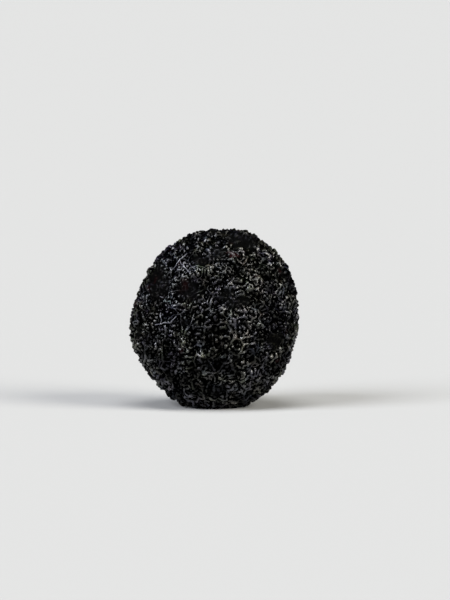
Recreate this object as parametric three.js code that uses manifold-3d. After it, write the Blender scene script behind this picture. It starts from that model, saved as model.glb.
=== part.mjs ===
// A whole black truffle: one solid fruit body, roughly egg-round, whose skin is covered all
// over by low many-sided warts with grooves between them. It rests on a small flat spot.
// Millimetres, +Z up; the origin is on the resting plane, under the middle of the truffle.
import * as THREE from "three";
import { ConvexHull } from "three/addons/math/ConvexHull.js";
import { ImprovedNoise } from "three/addons/math/ImprovedNoise.js";
import { mergeVertices } from "three/addons/utils/BufferGeometryUtils.js";
import Module from "manifold-3d";

// The body, before its warts: half-axes of the egg that its lobes are raised on.
const HALF_WIDTH = 18.1; // along X
const HALF_DEPTH = 17.2; // along Y
const CROWN_HEIGHT = 19.6; // from the middle up to the crown
const BASE_DEPTH = 19.9; // from the middle down to the underside
const FLAT_CUT = 1.0; // how much of the underside the flat spot takes away

// The skin.
const WARTS = 580;
const EVENING_ROUNDS = 4; // how often the scattered warts are moved apart towards an even spread
const WART_HEIGHT = 0.4; // shoulders of a wart above the body
const WART_DOME = 0.12; // middle of a wart above its shoulders
const WART_VARIETY = 0.3; // how much the heights differ, as a share
const SHOULDER_SHARE = 0.56; // how far out the shoulders stand, as a share of the way to the groove
const GROOVE_DEPTH = 0.25; // grooves below the body
const WAVE_HEIGHT = 0.28; // slow waves all over the body
const WAVE_LENGTH = 8.5;
const SEED = 11;

// Swellings and hollows of the body. Azimuth runs from +X towards +Y, elevation upwards and
// spread is the angle at which a lobe has faded, all in degrees; rise is in mm.
const LOBES = [
  { azimuth: 0, elevation: 71, spread: 14, rise: 1.05 }, // crown
  { azimuth: 180, elevation: 80, spread: 12, rise: 0.4 }, // second crown
  { azimuth: 0, elevation: 42, spread: 22, rise: 1.1 }, // right shoulder
  { azimuth: 180, elevation: 60, spread: 18, rise: -0.3 }, // left slope
  { azimuth: 180, elevation: 18, spread: 20, rise: -0.9 }, // left waist
  { azimuth: 180, elevation: -4, spread: 17, rise: 0.6 }, // left cheek
  { azimuth: -127, elevation: 24, spread: 24, rise: -0.7 }, // shallow front hollow
  { azimuth: -60, elevation: 5, spread: 32, rise: 0.7 }, // front cheek
  { azimuth: -100, elevation: -38, spread: 26, rise: 0.6 }, // lower front lobe
  { azimuth: 30, elevation: -28, spread: 28, rise: -0.9 }, // right flank
  { azimuth: 70, elevation: 25, spread: 28, rise: 0.9 }, // back lobe
  { azimuth: 112, elevation: 8, spread: 22, rise: -1.3 }, // back furrow
  { azimuth: 145, elevation: -18, spread: 28, rise: 0.9 }, // back cheek
  { azimuth: 95, elevation: 62, spread: 24, rise: -0.7 }, // back slope
  { azimuth: -160, elevation: -42, spread: 24, rise: -0.6 }, // left underside
];

const degrees = THREE.MathUtils.degToRad;

// A unit vector from azimuth and elevation, in radians.
function direction(azimuth, elevation) {
  const level = Math.cos(elevation);
  return new THREE.Vector3(
    level * Math.cos(azimuth),
    level * Math.sin(azimuth),
    Math.sin(elevation),
  );
}

// A repeatable stream of numbers from 0 to 1, the mulberry32 generator.
function randomStream(seed) {
  let state = seed;
  return () => {
    state = (state + 0x6d2b79f5) | 0;
    let mixed = Math.imul(state ^ (state >>> 15), state | 1);
    mixed ^= mixed + Math.imul(mixed ^ (mixed >>> 7), mixed | 61);
    return ((mixed ^ (mixed >>> 14)) >>> 0) / 2 ** 32;
  };
}

const noise = new ImprovedNoise();
const lobes = LOBES.map((lobe) => ({
  towards: direction(degrees(lobe.azimuth), degrees(lobe.elevation)),
  spread: degrees(lobe.spread),
  rise: lobe.rise,
}));

// Distance from the body's middle to its surface in a direction, before the warts.
function bodyRadius(towards) {
  const halfHeight = towards.z > 0 ? CROWN_HEIGHT : BASE_DEPTH;
  let radius =
    1 / Math.hypot(towards.x / HALF_WIDTH, towards.y / HALF_DEPTH, towards.z / halfHeight);
  for (const lobe of lobes) {
    const share = towards.angleTo(lobe.towards) / lobe.spread;
    radius += lobe.rise * Math.exp(-share * share);
  }
  const at = towards.clone().multiplyScalar(radius / WAVE_LENGTH);
  return radius + WAVE_HEIGHT * noise.noise(at.x + SEED, at.y, at.z);
}

// The cell of every wart: the part of the surface that is nearer to it than to any other wart,
// as the ring of directions of its corners. A hull triangle's normal points at the corner where
// its three warts' cells meet.
function cellsAround(warts) {
  const cells = new Map();
  for (const face of new ConvexHull().setFromPoints(warts).faces) {
    let edge = face.edge;
    do {
      const wart = edge.head().point;
      if (!cells.has(wart)) cells.set(wart, ringAround(edge));
      edge = edge.next;
    } while (edge !== face.edge);
  }
  return cells;
}

// The normals of the hull triangles around the point that an edge ends at, in order.
function ringAround(first) {
  const ring = [];
  let edge = first;
  do {
    ring.push(edge.face.normal);
    edge = edge.twin.prev;
  } while (edge !== first);
  return ring;
}

// Scattered warts, then each moved to the middle of its own cell, a few times over.
function wartDirections(random) {
  let warts = Array.from({ length: WARTS }, () =>
    direction(2 * Math.PI * random(), Math.asin(2 * random() - 1)),
  );
  for (let round = 0; round < EVENING_ROUNDS; round++)
    warts = [...cellsAround(warts).values()].map((ring) =>
      ring.reduce((sum, corner) => sum.add(corner), new THREE.Vector3()).normalize(),
    );
  return warts;
}

// The whole skin as one closed mesh. Each wart slopes up from the corners of its cell to a
// ring of shoulders and has a low dome inside them; neighbours meet in the grooves.
function skinGeometry() {
  const random = randomStream(SEED);
  const positions = [];
  const index = [];
  const place = (towards, rise) => {
    const point = towards.clone().setLength(bodyRadius(towards) + rise);
    return positions.push(point.x, point.y, point.z) / 3 - 1;
  };
  const grooves = new Map();
  for (const [wart, ring] of cellsAround(wartDirections(random))) {
    const height = WART_HEIGHT * (1 + WART_VARIETY * (2 * random() - 1));
    const middle = place(wart, height + WART_DOME);
    const outer = ring.map((corner) => {
      if (!grooves.has(corner)) grooves.set(corner, place(corner, -GROOVE_DEPTH));
      return grooves.get(corner);
    });
    const inner = ring.map((corner) =>
      place(wart.clone().lerp(corner, SHOULDER_SHARE).normalize(), height),
    );
    ring.forEach((_, i) => {
      const next = (i + 1) % ring.length;
      index.push(middle, inner[i], inner[next]);
      index.push(inner[i], outer[i], outer[next]);
      index.push(inner[i], outer[next], inner[next]);
    });
  }
  return new THREE.BufferGeometry()
    .setAttribute("position", new THREE.Float32BufferAttribute(positions, 3))
    .setIndex(index);
}

const wasm = await Module();
wasm.setup();

function solidFrom(geometry) {
  geometry.deleteAttribute("normal");
  geometry.deleteAttribute("uv");
  const merged = mergeVertices(geometry);
  return new wasm.Manifold(
    new wasm.Mesh({
      numProp: 3,
      vertProperties: merged.getAttribute("position").array,
      triVerts: new Uint32Array(merged.getIndex().array),
    }),
  );
}

function geometryFrom(solid) {
  const mesh = solid.getMesh();
  return new THREE.BufferGeometry()
    .setAttribute("position", new THREE.BufferAttribute(mesh.vertProperties, 3))
    .setIndex(new THREE.BufferAttribute(mesh.triVerts, 1));
}

// The skin with its underside cut level, set down on the resting plane and centred over it.
function truffleGeometry() {
  const side = 4 * HALF_WIDTH;
  const below = new THREE.BoxGeometry(side, side, side);
  below.translate(0, 0, FLAT_CUT - BASE_DEPTH - side / 2);
  const geometry = geometryFrom(solidFrom(skinGeometry()).subtract(solidFrom(below)));
  geometry.computeBoundingBox();
  const { min, max } = geometry.boundingBox;
  geometry.translate(-(min.x + max.x) / 2, -(min.y + max.y) / 2, -min.z);
  geometry.computeVertexNormals();
  return geometry;
}

const skin = new THREE.MeshStandardMaterial({ color: 0x1b1a19, roughness: 0.5, metalness: 0 });

const truffle = new THREE.Mesh(truffleGeometry(), skin);
truffle.name = "truffle";

const part = new THREE.Group();
part.add(truffle);

export default part;
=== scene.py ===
import math

import bpy
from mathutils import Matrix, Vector


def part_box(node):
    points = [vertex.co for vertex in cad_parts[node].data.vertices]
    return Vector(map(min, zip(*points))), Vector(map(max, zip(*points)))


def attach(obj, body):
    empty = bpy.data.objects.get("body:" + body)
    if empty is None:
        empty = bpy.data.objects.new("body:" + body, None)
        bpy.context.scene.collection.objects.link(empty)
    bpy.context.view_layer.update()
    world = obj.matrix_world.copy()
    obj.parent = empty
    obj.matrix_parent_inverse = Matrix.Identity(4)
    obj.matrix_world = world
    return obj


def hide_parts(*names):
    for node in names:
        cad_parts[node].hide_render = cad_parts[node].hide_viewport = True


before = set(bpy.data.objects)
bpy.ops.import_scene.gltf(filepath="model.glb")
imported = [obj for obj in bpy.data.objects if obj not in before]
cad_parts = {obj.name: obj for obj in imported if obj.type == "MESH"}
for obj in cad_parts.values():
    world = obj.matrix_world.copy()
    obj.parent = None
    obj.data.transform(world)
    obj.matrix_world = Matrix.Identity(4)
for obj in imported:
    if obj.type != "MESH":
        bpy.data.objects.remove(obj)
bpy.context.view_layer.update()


# ---- Skin of the truffle ----
# The whole fruit body is one grown piece, so its skin is the only surface there is. It is a hard
# black rind, raised in warts that meet in grooves. Each wart is itself broken up into beads,
# granules and short wavy folds, which glint where they are moist.

MM = 0.001
LOW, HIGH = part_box("truffle")
MIDDLE_HEIGHT = (LOW.z + HIGH.z) / 2


class Wiring:
    """Adds nodes to one node tree. A value is a plain one or the output of another node."""

    def __init__(self, tree):
        self.tree = tree

    def node(self, kind, inputs=None, **settings):
        made = self.tree.nodes.new(kind)
        for name, setting in settings.items():
            setattr(made, name, setting)
        for key, value in (inputs or {}).items():
            if isinstance(value, bpy.types.NodeSocket):
                self.tree.links.new(value, made.inputs[key])
            else:
                made.inputs[key].default_value = value
        return made

    def math(self, operation, *values):
        return self.node("ShaderNodeMath", dict(enumerate(values)), operation=operation).outputs[0]

    def vector_math(self, operation, *values):
        inputs = dict(enumerate(values))
        if operation == "SCALE":
            inputs = {"Vector": values[0], "Scale": values[1]}
        made = self.node("ShaderNodeVectorMath", inputs, operation=operation)
        name = "Value" if operation in ("LENGTH", "DOT_PRODUCT", "DISTANCE") else "Vector"
        return made.outputs[name]

    def ramp(self, value, start, end, low=0.0, high=1.0):
        """A smooth step from low, where value is start, to high, where value is end."""
        inputs = {"Value": value, "From Min": start, "From Max": end, "To Min": low, "To Max": high}
        made = self.node("ShaderNodeMapRange", inputs, interpolation_type="SMOOTHSTEP")
        return made.outputs["Result"]

    def blend(self, share, first, second):
        """The number first where share is 0, and second where it is 1."""
        inputs = {"Factor": share, "A": first, "B": second}
        return self.node("ShaderNodeMix", inputs, data_type="FLOAT").outputs["Result"]

    def mixed(self, share, first, second):
        """The colour first where share is 0, and second where it is 1."""
        inputs = {"Factor": share, "A": first, "B": second}
        return self.node("ShaderNodeMix", inputs, data_type="RGBA").outputs["Result"]

    def shifted(self, place, shift):
        """A place moved far off, so that two patterns with their own shifts don't look alike."""
        return self.vector_math("ADD", place, (shift, shift * 0.7, -shift))

    def noise(self, place, size, shift, detail=0.0, roughness=0.5):
        """Soft noise around 0.5 whose lumps are about size across."""
        inputs = {"Vector": self.shifted(place, shift), "Scale": 1 / size, "Detail": detail,
                  "Roughness": roughness}
        return self.node("ShaderNodeTexNoise", inputs)

    def patches(self, place, size, shift, start, end, low=0.0, high=1.0, detail=1.0):
        """Patches about size across: high where the noise is above end, low where under start."""
        noise = self.noise(place, size, shift, detail=detail)
        return self.ramp(noise.outputs["Fac"], start, end, low, high)

    def cells(self, place, size, feature, shift):
        """Packed cells, about size across."""
        inputs = {"Vector": self.shifted(place, shift), "Scale": 1 / size}
        return self.node("ShaderNodeTexVoronoi", inputs, feature=feature)


def bend(w, place, size, amount, shift):
    """The place pushed about by soft noise of a size, by up to about half the amount."""
    push = w.noise(place, size, shift, detail=0.5).outputs["Color"]
    push = w.vector_math("SUBTRACT", push, (0.5, 0.5, 0.5))
    return w.vector_math("ADD", place, w.vector_math("SCALE", push, amount))


def ragged_spots(w, place, spots, shift, size, amount):
    """1 in the middle of each spot, given as a place and a radius in mm, and 0 outside them all.
    Their edges are ragged, because the place is bent first, by a size and an amount."""
    place = bend(w, place, size, amount, shift)
    share = 0.0
    for spot, radius in spots:
        away = w.vector_math("DISTANCE", place, spot)
        share = w.math("MAXIMUM", share, w.ramp(away, radius, radius * 0.45))
    return share


def pebbles(w, place, size, shift):
    """Domed grains that fill the skin, each of its own height, with narrow grooves between."""
    edge = w.cells(place, size, "DISTANCE_TO_EDGE", shift).outputs["Distance"]
    cell = w.cells(place, size, "F1", shift)
    draw = w.node("ShaderNodeSeparateXYZ", {"Vector": cell.outputs["Color"]}).outputs["X"]
    wall = w.ramp(edge, 0.0, 0.30)
    dome = w.ramp(cell.outputs["Distance"], 0.75, 0.0, low=0.35)
    return w.math("MULTIPLY", w.math("MULTIPLY", wall, dome), w.ramp(draw, 0.0, 1.0, low=0.55))


def walls(w, place, size, reach, crest, shift):
    """1 on the walls between cells of a size, as wide as crest to each side, and 0 past reach."""
    away = w.cells(place, size, "DISTANCE_TO_EDGE", shift).outputs["Distance"]
    return w.ramp(away, reach / size, crest / size)


def seams(w, place, reach, crest):
    """1 on the crests of thin wandering ridges, which only some parts of the skin have."""
    seam = walls(w, bend(w, place, 2.5, 1.0, 13.0), 4.2, reach, crest, 4.0)
    zone = w.patches(place, size=5.0, shift=55.0, start=0.48, end=0.56, detail=0.0)
    return w.math("MULTIPLY", seam, zone)


# Long ridges, as their two ends in mm from the middle of the truffle: a Y, a fork, and the short
# pieces of a curl.
LONG_RIDGES = [
    ((-9.8, -10.4, 12.0), (-6.2, -8.8, 15.3)),
    ((-8.0, -10.0, 13.6), (-5.6, -13.7, 11.4)),
    ((-12.7, -13.5, 2.1), (-12.6, -13.8, -0.1)),
    ((-13.7, -12.7, -0.6), (-11.4, -14.8, -0.1)),
    ((-11.4, -14.8, -0.1), (-10.0, -15.8, 0.2)),
    ((-10.0, -15.8, 0.2), (-9.0, -16.3, 1.6)),
    ((-13.0, -12.1, 5.9), (-12.3, -12.9, 5.8)),
    ((-12.0, -13.3, 5.4), (-11.6, -13.8, 4.9)),
    ((-11.3, -14.0, 5.1), (-10.6, -14.5, 5.1)),
    ((-12.1, -13.4, 4.9), (-12.0, -13.5, 4.7)),
    ((-10.5, -14.7, 4.8), (-10.5, -14.8, 4.5)),
]
BODY_RADIUS = 18.7


def on_body(w, place):
    """A place moved straight in or out, on to a ball as large as the truffle."""
    return w.vector_math("SCALE", w.vector_math("NORMALIZE", place), BODY_RADIUS)


def away_from_long(w, place):
    """How far a place is from the nearest long ridge, in mm."""
    on = on_body(w, bend(w, place, 1.5, 0.7, 350.0))
    closest = BODY_RADIUS
    for start, end in LONG_RIDGES:
        start, end = Vector(start), Vector(end)
        along = end - start
        ahead = w.vector_math("SUBTRACT", on, start)
        passed = w.vector_math("DOT_PRODUCT", ahead, along / along.length_squared)
        passed = w.math("MAXIMUM", w.math("MINIMUM", passed, 1.0), 0.0)
        nearest = w.vector_math("ADD", w.vector_math("SCALE", along, passed), start)
        closest = w.math("MINIMUM", closest, w.vector_math("DISTANCE", on, on_body(w, nearest)))
    return closest


GRID = 129  # points along each side of the cube that the skin's mesh is blown up from
BODY_ROUNDS = 160  # rounds of blur that take the warts off the solid's form
WORN_ROUNDS = 5  # rounds that wear the warts' edges

tree = bpy.data.node_groups.new("truffle skin", "GeometryNodeTree")
tree.interface.new_socket("Form", in_out="INPUT", socket_type="NodeSocketGeometry")
sizes = {}
for name, size in (
    ("Middle height", MIDDLE_HEIGHT),
    ("Granule height", 0.38 * MM),
    ("Groove share", 0.45),
):
    socket = tree.interface.new_socket(name, in_out="INPUT", socket_type="NodeSocketFloat")
    sizes[socket.identifier] = size
tree.interface.new_socket("Material", in_out="INPUT", socket_type="NodeSocketMaterial")
tree.interface.new_socket("Skin", in_out="OUTPUT", socket_type="NodeSocketGeometry")

w = Wiring(tree)
given = w.node("NodeGroupInput").outputs
middle = w.node("ShaderNodeCombineXYZ", {"Z": given["Middle height"]}).outputs[0]


def stored(geometry, name, kind, value):
    inputs = {"Geometry": geometry, "Name": name, "Value": value}
    return w.node("GeometryNodeStoreNamedAttribute", inputs, data_type=kind).outputs[0]


def attribute(name, kind):
    made = w.node("GeometryNodeInputNamedAttribute", {"Name": name}, data_type=kind)
    return made.outputs["Attribute"]


def blurred(value, rounds, reach=1.0):
    inputs = {"Value": value, "Iterations": rounds, "Weight": reach}
    return w.node("GeometryNodeBlurAttribute", inputs, data_type="FLOAT").outputs[0]


# The cube's grid becomes an even ball, and each point is cast outwards on to the solid's form.
cube = w.node("GeometryNodeMeshCube", {"Size": (2, 2, 2), "Vertices X": GRID, "Vertices Y": GRID,
                                       "Vertices Z": GRID}).outputs["Mesh"]
corner = w.node("GeometryNodeInputPosition").outputs[0]
even = w.vector_math("TANGENT", w.vector_math("SCALE", corner, math.pi / 4))
mesh = stored(cube, "outwards", "FLOAT_VECTOR", w.vector_math("NORMALIZE", even))
outwards = attribute("outwards", "FLOAT_VECTOR")
hit = w.node("GeometryNodeRaycast", {"Target Geometry": given["Form"], "Source Position": middle,
                                     "Ray Direction": outwards, "Ray Length": 0.2})
mesh = stored(mesh, "form", "FLOAT", hit.outputs["Hit Distance"])
form = attribute("form", "FLOAT")
mesh = stored(mesh, "body", "FLOAT", blurred(form, BODY_ROUNDS))
mesh = stored(mesh, "worn", "FLOAT", blurred(form, WORN_ROUNDS))
body = attribute("body", "FLOAT")
worn = attribute("worn", "FLOAT")
wart = w.math("SUBTRACT", worn, body)

# Patterns follow the body without its warts, in mm from its middle, and so do the blurs.
body_point = w.vector_math("SCALE", outwards, body)
mesh = w.node("GeometryNodeSetPosition", {"Geometry": mesh, "Position": body_point}).outputs[0]
place = w.vector_math("SCALE", body_point, 1 / MM)
mesh = stored(mesh, "skin_place", "FLOAT_VECTOR", place)
skin_place = attribute("skin_place", "FLOAT_VECTOR")

# Folds start as specks, stronger round each wart's rim and on the crests of the thin ridges.
speck = w.node("ShaderNodeTexWhiteNoise", {"Vector": skin_place}, noise_dimensions="3D")
start = w.ramp(speck.outputs["Value"], 0.0, 1.0, low=-0.5, high=0.5)
RIM_HEIGHT, RIM_REACH = 0.12 * MM, 0.08 * MM
off_rim = w.math("ABSOLUTE", w.math("SUBTRACT", wart, RIM_HEIGHT))
start = w.math("MULTIPLY_ADD", w.ramp(off_rim, RIM_REACH, 0.0), 0.35, start)
net = walls(w, bend(w, skin_place, 1.6, 1.2, 410.0), 2.3, 0.32, 0.048, 400.0)
net_zone = w.patches(skin_place, size=4.5, shift=430.0, start=0.42, end=0.55)
net = w.math("MULTIPLY", net, w.math("MULTIPLY", net_zone, 0.55))
crests = w.math("MAXIMUM", net, seams(w, skin_place, 0.224, 0.048))
away = away_from_long(w, skin_place)
crests = w.math("MAXIMUM", crests, w.ramp(away, 0.27, 0.04))
start = w.math("MULTIPLY_ADD", crests, 1.5, start)
mesh = stored(mesh, "fold", "FLOAT", start)

# The lean is low where folds grow sparsely, as beside the long ridges, and high on the crests.
SPARSE = [((-9.5, -15.7, 3.2), 6.5), ((2.4, -13.0, 13.2), 2.2), ((-14.0, -7.0, 10.5), 3.5),
          ((-6.6, -15.4, 8.6), 3.0)]
lean = w.patches(skin_place, size=3.0, shift=90.0, start=0.36, end=0.66, low=-0.40, high=0.02,
                 detail=1.5)
side = w.node("ShaderNodeSeparateXYZ", {"Vector": skin_place}).outputs["X"]
lean = w.math("ADD", lean, w.ramp(side, -10.0, 10.0, low=-0.07, high=0.06))
sparse = ragged_spots(w, skin_place, SPARSE, 370.0, size=2.5, amount=2.5)
lean = w.math("MULTIPLY_ADD", sparse, -0.36, w.math("MULTIPLY_ADD", net_zone, -0.08, lean))
lean = w.math("MULTIPLY_ADD", w.ramp(away, 1.0, 0.45), -0.18, lean)
lean = w.math("MULTIPLY_ADD", crests, 0.6, lean)
mesh = stored(mesh, "lean", "FLOAT", lean)
reach = w.patches(skin_place, size=2.5, shift=140.0, start=0.35, end=0.65, low=0.15, high=0.45)
mesh = stored(mesh, "reach", "FLOAT", reach)
fold = attribute("fold", "FLOAT")
reach = attribute("reach", "FLOAT")

# Each round of growth keeps what stands out from the skin round about it.
GROWTH_ROUNDS = 7
GROWTH_GAIN = 4.0
begin = w.tree.nodes.new("GeometryNodeRepeatInput")
finish = w.tree.nodes.new("GeometryNodeRepeatOutput")
begin.pair_with_output(finish)
begin.inputs["Iterations"].default_value = GROWTH_ROUNDS
w.tree.links.new(mesh, begin.inputs["Geometry"])
contrast = w.math("SUBTRACT", blurred(fold, 2, 0.25), blurred(fold, 7, reach))
grown = w.math("MULTIPLY_ADD", contrast, GROWTH_GAIN, attribute("lean", "FLOAT"))
grown = w.math("MAXIMUM", w.math("MINIMUM", grown, 1.0), -1.0)
mesh = stored(begin.outputs["Geometry"], "fold", "FLOAT", grown)
w.tree.links.new(mesh, finish.inputs["Geometry"])
mesh = finish.outputs["Geometry"]

# Folds are broken up along their length, by soft noise or, in some places, into round beads.
# They are lower in the grooves between warts.
draw = w.patches(skin_place, size=0.9, shift=33.0, start=0.38, end=0.58, low=0.05, high=1.1,
                 detail=0.5)
beads = pebbles(w, bend(w, skin_place, 0.9, 0.5, 560.0), 1.0, 570.0)
beads = w.math("MULTIPLY_ADD", beads, 1.5, 0.2)
beaded = w.patches(skin_place, size=3.5, shift=580.0, start=0.5, end=0.6)
beaded = w.math("MAXIMUM", w.math("MULTIPLY", beaded, 0.7), sparse)
draw = w.blend(beaded, draw, beads)
crown = w.ramp(wart, -0.25 * MM, 0.10 * MM, low=0.45)
ridge = w.ramp(blurred(fold, 1, 0.25), -0.80, 0.70)
fine = w.math("MINIMUM", w.math("MULTIPLY", w.math("MULTIPLY", ridge, draw), crown), 1.0)
mesh = stored(mesh, "fine", "FLOAT", fine)
fine = attribute("fine", "FLOAT")

# Warts are lower under the long ridges, so that these run straight.
smoothed = w.math("MULTIPLY", w.ramp(away, 2.2, 0.7), 0.8)
wart_left = w.math("MULTIPLY", wart, w.math("SUBTRACT", 1.0, smoothed))

LOWEST = (-1.0, -1.0, 0.0)  # no point is lower than the table
rise = w.math("MULTIPLY", w.math("SUBTRACT", fine, given["Groove share"]), given["Granule height"])
radius = w.math("ADD", w.math("ADD", body, wart_left), rise)
point = w.vector_math("ADD", middle, w.vector_math("SCALE", outwards, radius))
point = w.vector_math("MAXIMUM", point, LOWEST)
mesh = w.node("GeometryNodeSetPosition", {"Geometry": mesh, "Position": point}).outputs[0]
mesh = w.node("GeometryNodeSetShadeSmooth", {"Geometry": mesh}).outputs[0]
mesh = w.node("GeometryNodeRealizeInstances", {"Geometry": mesh}).outputs[0]
mesh = w.node("GeometryNodeSetMaterial", {"Geometry": mesh, "Material": given["Material"]})
w.node("NodeGroupOutput", {"Skin": mesh.outputs[0]})

skin_material = bpy.data.materials.new("moist black rind")
skin_material.use_nodes = True
s = Wiring(skin_material.node_tree)
s.tree.nodes.clear()
place = s.node("ShaderNodeAttribute", attribute_name="skin_place").outputs["Vector"]
relief = s.node("ShaderNodeAttribute", attribute_name="fine").outputs["Fac"]

# What is too fine for the mesh is a bump: crumbs, their grain, and the sharp crests of ridges.
CRUMB_SIZE, GRAIN_SIZE, BUMP_HEIGHT = 0.70, 0.20, 0.10 * MM
crumb = pebbles(s, bend(s, place, 0.8, 0.5, 17.0), CRUMB_SIZE, 21.0)
grain = s.noise(place, GRAIN_SIZE, 0.0, detail=1.0, roughness=0.6).outputs["Fac"]
height = s.math("MULTIPLY_ADD", grain, 0.12, crumb)
long = s.ramp(away_from_long(s, place), 0.135, 0.02)
crest = s.math("MAXIMUM", seams(s, place, 0.119, 0.0255), long)
broken = s.patches(place, size=0.9, shift=440.0, start=0.38, end=0.60, low=0.20)
crest = s.math("MULTIPLY", crest, broken)
long = s.math("MULTIPLY", long, s.math("MULTIPLY_ADD", broken, 0.3, 0.7))
height = s.math("MULTIPLY_ADD", crest, 0.8, height)
bump = s.node("ShaderNodeBump", {"Height": height, "Strength": 1.0, "Distance": BUMP_HEIGHT})

# The rind is black, and brown-red where it is rubbed.
RUBBED = [((-7.5, -14.8, 8.7), 2.5), ((4.1, -10.5, 15.3), 1.8)]
RIND_BLACK, RIND_BROWN = (0.0002, 0.0002, 0.0002, 1), (0.0085, 0.0026, 0.0029, 1)
rubbed = ragged_spots(s, place, RUBBED, 300.0, size=1.5, amount=2.5)
brown = s.patches(place, size=3.2, shift=12.0, start=0.70, end=0.85)
brown = s.math("MAXIMUM", brown, rubbed)
rind = s.mixed(brown, RIND_BLACK, RIND_BROWN)

# Its tips are greyer: the tops of folds, beads and crests, and single crumbs where it is speckled.
# The grey is partly worn tips and partly a painted highlight, standing in for the glints on the wet
# skin.
SPECKLED = [((-9.5, -15.7, 3.2), 6.5), ((-2.0, -12.0, 14.2), 4.0)]
tip_and_highlight = s.math("MAXIMUM", s.ramp(relief, 0.25, 0.90), s.math("MULTIPLY", s.ramp(crumb, 0.2, 0.8), 0.25))
tip_and_highlight = s.math("MAXIMUM", tip_and_highlight, s.math("MULTIPLY", crest, 1.2))
speckled = s.patches(place, size=3.0, shift=500.0, start=0.50, end=0.62)
speckled = s.math("MAXIMUM", speckled, ragged_spots(s, place, SPECKLED, 370.0, size=2.5, amount=2.5))
dots = s.math("MULTIPLY", s.ramp(crumb, 0.45, 0.72), speckled)
tip_and_highlight = s.math("MAXIMUM", tip_and_highlight, dots)

# The tint of the tips and of their painted highlight drifts from lavender to olive, and is redder
# where the rind is rubbed.
LAVENDER = [((-8.0, -11.0, 12.8), 5.0), ((1.5, -17.2, 7.2), 5.0), ((-11.5, -14.7, 0.0), 4.0)]
OLIVE = [((8.0, -12.5, 11.0), 7.0), ((-3.0, -13.5, 12.5), 3.0)]
TIP_AND_HIGHLIGHT_LAVENDER, TIP_AND_HIGHLIGHT_OLIVE = (0.0285, 0.0285, 0.0430, 1), (0.0350, 0.0345, 0.0230, 1)
TIP_AND_HIGHLIGHT_BROWN = (0.036, 0.017, 0.017, 1)
shade = s.patches(place, size=4.0, shift=200.0, start=0.40, end=0.60)
shade = s.math("MAXIMUM", shade, ragged_spots(s, place, OLIVE, 460.0, size=3.0, amount=3.0))
lavender = ragged_spots(s, place, LAVENDER, 480.0, size=3.0, amount=3.0)
shade = s.math("MULTIPLY", shade, s.math("SUBTRACT", 1.0, lavender))
tip_and_highlight_colour = s.mixed(shade, TIP_AND_HIGHLIGHT_LAVENDER, TIP_AND_HIGHLIGHT_OLIVE)
hue = s.noise(place, 2.5, 230.0, detail=1.0).outputs["Color"]
hue = s.vector_math("MULTIPLY_ADD", hue, (0.8, 0.8, 0.8), (0.6, 0.6, 0.6))
tip_and_highlight_colour = s.vector_math("MULTIPLY", tip_and_highlight_colour, hue)
tip_and_highlight_colour = s.mixed(brown, tip_and_highlight_colour, TIP_AND_HIGHLIGHT_BROWN)

# Some of the skin is dull, which hides its tips and their painted highlight, and some is wet, which
# shows them.
# The spot on the crown takes the lighter tips off the top rim, which is painted shade.
DULL = [((-13.4, -10.4, 8.4), 5.2), ((-5.8, -16.0, 7.2), 4.0), ((-13.7, -7.0, 10.7), 4.5),
        ((6.0, -4.6, 17.0), 5.0), ((0.5, -1.0, 18.6), 3.8), ((1.1, -10.8, 15.3), 3.0),
        ((2.8, -17.0, 7.0), 2.2), ((-7.2, -14.8, 9.0), 2.6)]
WET = [((-8.4, -10.6, 12.9), 4.4), ((-4.0, -8.0, 16.4), 3.2), ((-12.0, -14.0, 0.5), 4.5),
       ((-10.6, -14.7, 4.4), 3.4), ((0.7, -17.3, 7.8), 2.6), ((9.0, -13.5, 9.5), 4.0),
       ((-7.9, -6.2, 15.3), 4.0)]
DULL_BLACK, DULL_BROWN = (0.0019, 0.0019, 0.0019, 1), (0.0060, 0.0021, 0.0022, 1)
moist = s.patches(place, size=4.5, shift=61.0, start=0.42, end=0.57, low=0.25, detail=2.0)
wet = ragged_spots(s, place, WET, 340.0, size=2.0, amount=2.0)
moist = s.math("MAXIMUM", moist, wet)
dull = ragged_spots(s, place, DULL, 320.0, size=3.0, amount=3.0)
dull = s.math("MAXIMUM", dull, s.patches(place, size=6.0, shift=380.0, start=0.62, end=0.70))
dull = s.math("MULTIPLY", dull, s.math("SUBTRACT", 1.0, wet))
moist = s.math("MULTIPLY", moist, s.math("MULTIPLY_ADD", dull, -0.9, 1.0))
rind = s.mixed(dull, rind, s.mixed(brown, DULL_BLACK, DULL_BROWN))
shown_tip_and_highlight = s.math("MULTIPLY", tip_and_highlight, s.math("MAXIMUM", moist, 0.12))
colour = s.mixed(shown_tip_and_highlight, rind, tip_and_highlight_colour)

# The long ridges are paler still, and blue-green where they curl: a painted highlight along their
# crests.
CURL = [((-11.1, -14.1, 5.3), 2.6)]
RIDGE_HIGHLIGHT_PALE, RIDGE_HIGHLIGHT_TEAL = (0.130, 0.130, 0.155, 1), (0.130, 0.180, 0.172, 1)
curl = ragged_spots(s, place, CURL, 600.0, size=1.0, amount=1.5)
colour = s.mixed(long, colour, s.mixed(curl, RIDGE_HIGHLIGHT_PALE, RIDGE_HIGHLIGHT_TEAL))

# Moisture is a clear coat over whatever stands up from the skin.
stands = s.math("MULTIPLY", s.ramp(crumb, 0.3, 0.8), 0.4)
stands = s.math("MAXIMUM", s.ramp(relief, 0.15, 0.50), stands)
stands = s.math("MAXIMUM", stands, s.math("MAXIMUM", crest, dots))
skin = s.node("ShaderNodeBsdfPrincipled", {
    "Base Color": colour, "Roughness": s.ramp(relief, 0.0, 0.6, low=0.75, high=0.40),
    "Normal": bump.outputs[0], "Specular IOR Level": 0.0,
    "Coat Weight": s.math("MULTIPLY", stands, moist), "Coat Roughness": 0.22, "Coat IOR": 1.64,
    "Coat Normal": bump.outputs[0]})
s.node("ShaderNodeOutputMaterial", {"Surface": skin.outputs[0]})

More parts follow.
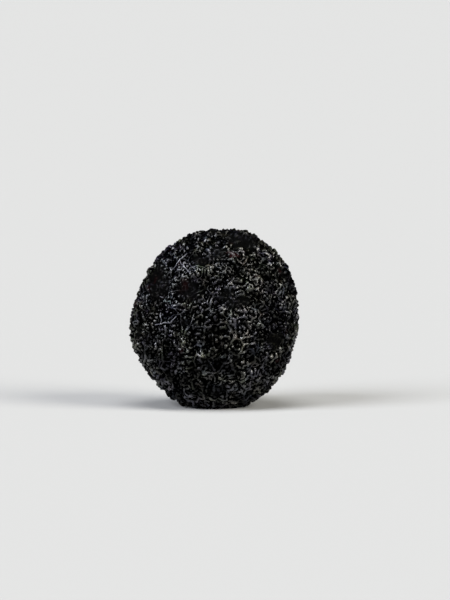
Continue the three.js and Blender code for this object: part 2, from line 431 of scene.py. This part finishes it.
former = bpy.data.objects.new("form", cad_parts["truffle"].data.copy())
bpy.context.scene.collection.objects.link(former)
layer = former.modifiers.new("skin", "NODES")
layer.node_group = tree
for identifier, size in sizes.items():
    layer[identifier] = size
for item in tree.interface.items_tree:
    if item.name == "Material":
        layer[item.identifier] = skin_material

depsgraph = bpy.context.evaluated_depsgraph_get()
skin_mesh = bpy.data.meshes.new_from_object(former.evaluated_get(depsgraph), depsgraph=depsgraph)
bpy.data.objects.remove(former)
truffle = bpy.data.objects.new("truffle_skin", skin_mesh)
bpy.context.scene.collection.objects.link(truffle)

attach(truffle, "root")
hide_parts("truffle")


# ---- Table, light and camera ----
# A wide pale matt table under a pale room. Three big softboxes light the truffle from the left,
# the right and above, and the camera looks at it from a little above the table.

HALF_TABLE = 15.0
table_corners = [(-HALF_TABLE, -HALF_TABLE, 0), (HALF_TABLE, -HALF_TABLE, 0),
                 (HALF_TABLE, HALF_TABLE, 0), (-HALF_TABLE, HALF_TABLE, 0)]
floor_mesh = bpy.data.meshes.new("floor")
floor_mesh.from_pydata(table_corners, [], [(0, 1, 2, 3)])
floor = bpy.data.objects.new("floor", floor_mesh)
bpy.context.scene.collection.objects.link(floor)
floor_material = bpy.data.materials.new("pale table")
floor_material.use_nodes = True
finish_of_floor = floor_material.node_tree.nodes["Principled BSDF"].inputs
finish_of_floor["Base Color"].default_value = (0.46, 0.46, 0.46, 1)
finish_of_floor["Roughness"].default_value = 0.9
finish_of_floor["Specular IOR Level"].default_value = 0.1
floor_mesh.materials.append(floor_material)

SEEN_ROOM, LIT_ROOM = 0.95, 0.04  # how bright the room is to the camera, and to what it lights
world = bpy.data.worlds.new("studio")
bpy.context.scene.world = world
world.use_nodes = True
r = Wiring(world.node_tree)
r.tree.nodes.clear()
seen = r.node("ShaderNodeLightPath").outputs["Is Camera Ray"]
room = r.node("ShaderNodeBackground", {"Color": (0.9, 0.9, 0.9, 1),
                                       "Strength": r.blend(seen, LIT_ROOM, SEEN_ROOM)})
r.node("ShaderNodeOutputWorld", {"Surface": room.outputs[0]})


def softbox(name, azimuth, elevation, width, strength, tint):
    """A big soft light far away. Width is the angle that it fills, and angles are in degrees."""
    data = bpy.data.lights.new(name, "SUN")
    data.angle = math.radians(width)
    data.energy = strength
    data.color = tint
    light = bpy.data.objects.new(name, data)
    a, e = math.radians(azimuth), math.radians(elevation)
    towards = Vector((math.cos(e) * math.sin(a), -math.cos(e) * math.cos(a), math.sin(e)))
    light.location = Vector((0.0, 0.0, MIDDLE_HEIGHT)) + towards * 0.6
    light.rotation_euler = towards.to_track_quat("Z", "Y").to_euler()
    bpy.context.scene.collection.objects.link(light)


softbox("left softbox", azimuth=-50, elevation=35, width=36, strength=3.4, tint=(0.92, 0.95, 1.0))
softbox("right softbox", azimuth=55, elevation=30, width=36, strength=3.2, tint=(1.0, 0.98, 0.90))
softbox("top softbox", azimuth=0, elevation=75, width=36, strength=2.0, tint=(1.0, 1.0, 1.0))

bpy.context.scene.view_settings.view_transform = "Standard"

ELEVATION = math.radians(4.5)
DISTANCE = 1.5
AIM_RIGHT, AIM_UP = 2.4 * MM, 23.4 * MM
PICTURE_HEIGHT = 132.0 * MM  # how much of the picture's plane through the truffle is seen
camera_data = bpy.data.cameras.new("camera")
camera_data.lens = camera_data.sensor_width * DISTANCE / PICTURE_HEIGHT
camera_data.clip_end = 100
camera = bpy.data.objects.new("camera", camera_data)
target = Vector((AIM_RIGHT, 0.0, AIM_UP / math.cos(ELEVATION)))
away = Vector((0.0, -math.cos(ELEVATION), math.sin(ELEVATION)))
camera.location = target + away * DISTANCE
camera.rotation_euler = (-away).to_track_quat("-Z", "Y").to_euler()
bpy.context.scene.collection.objects.link(camera)
bpy.context.scene.camera = camera
